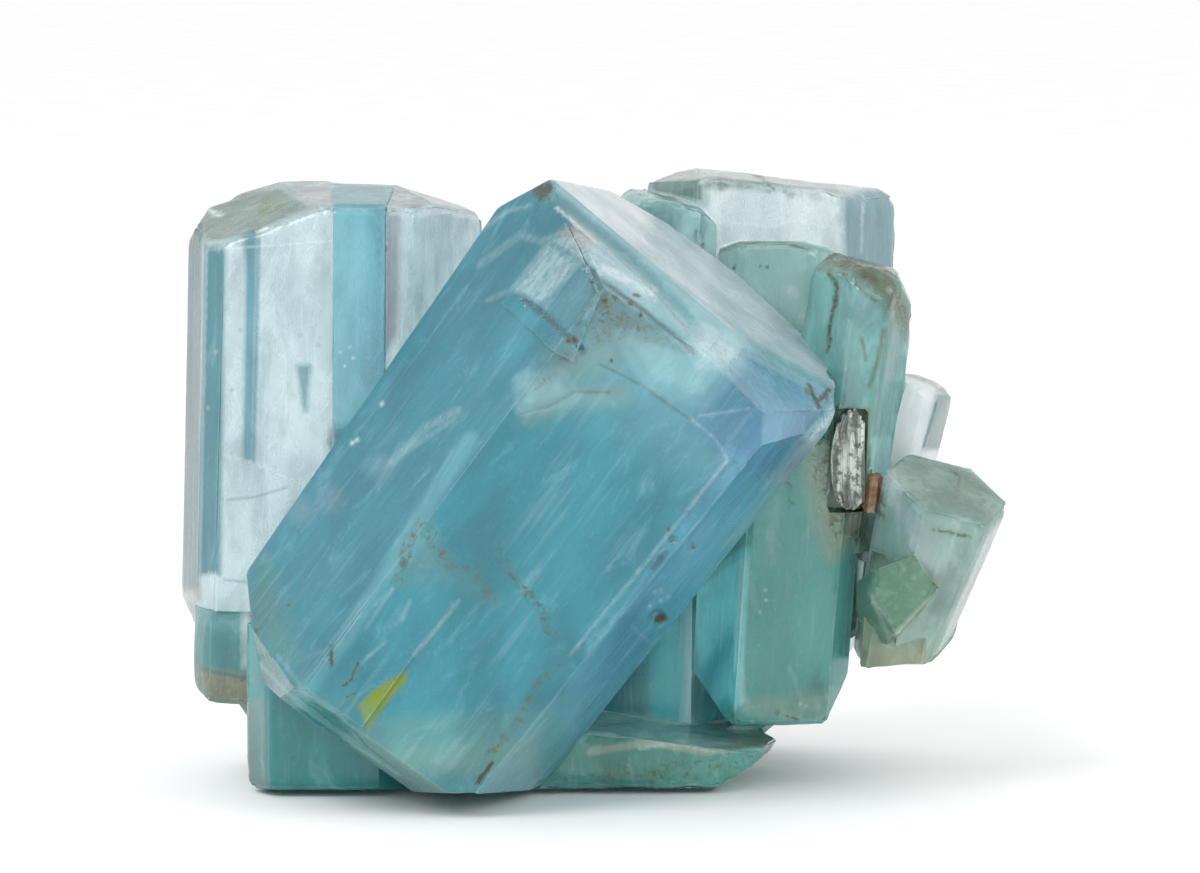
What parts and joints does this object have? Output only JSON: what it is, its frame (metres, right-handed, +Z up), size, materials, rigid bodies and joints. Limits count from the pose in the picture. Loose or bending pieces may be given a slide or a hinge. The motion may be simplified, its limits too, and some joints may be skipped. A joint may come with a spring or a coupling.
{
  "type": "aquamarine crystal cluster",
  "caption": "Cluster of blue-green beryl prisms grown together, a large one leaning across an upright plate, with mica and feldspar caught at the right, sawn flat below.",
  "frame": {"origin": "middle of the bounding box's underside, on the sawn base", "axes": "+X to the viewer's right across the front, +Y to the back, +Z up; the large leaning prism is at the front, on the -Y side"},
  "size_m": [0.0834, 0.0538, 0.0619],
  "materials": {
    "aquamarine": "natural beryl crystal, clear to milky blue-green, glossy growth faces with fine striations, faintly iron-stained in the seams",
    "mica": "silvery mica, glittering and speckled",
    "feldspar": "dull feldspar stained with rust"
  },
  "bodies": {
    "root": {"aquamarine_cluster": "aquamarine", "mica_flake": "mica", "feldspar_grain": "feldspar"}
  },
  "joints": []
}
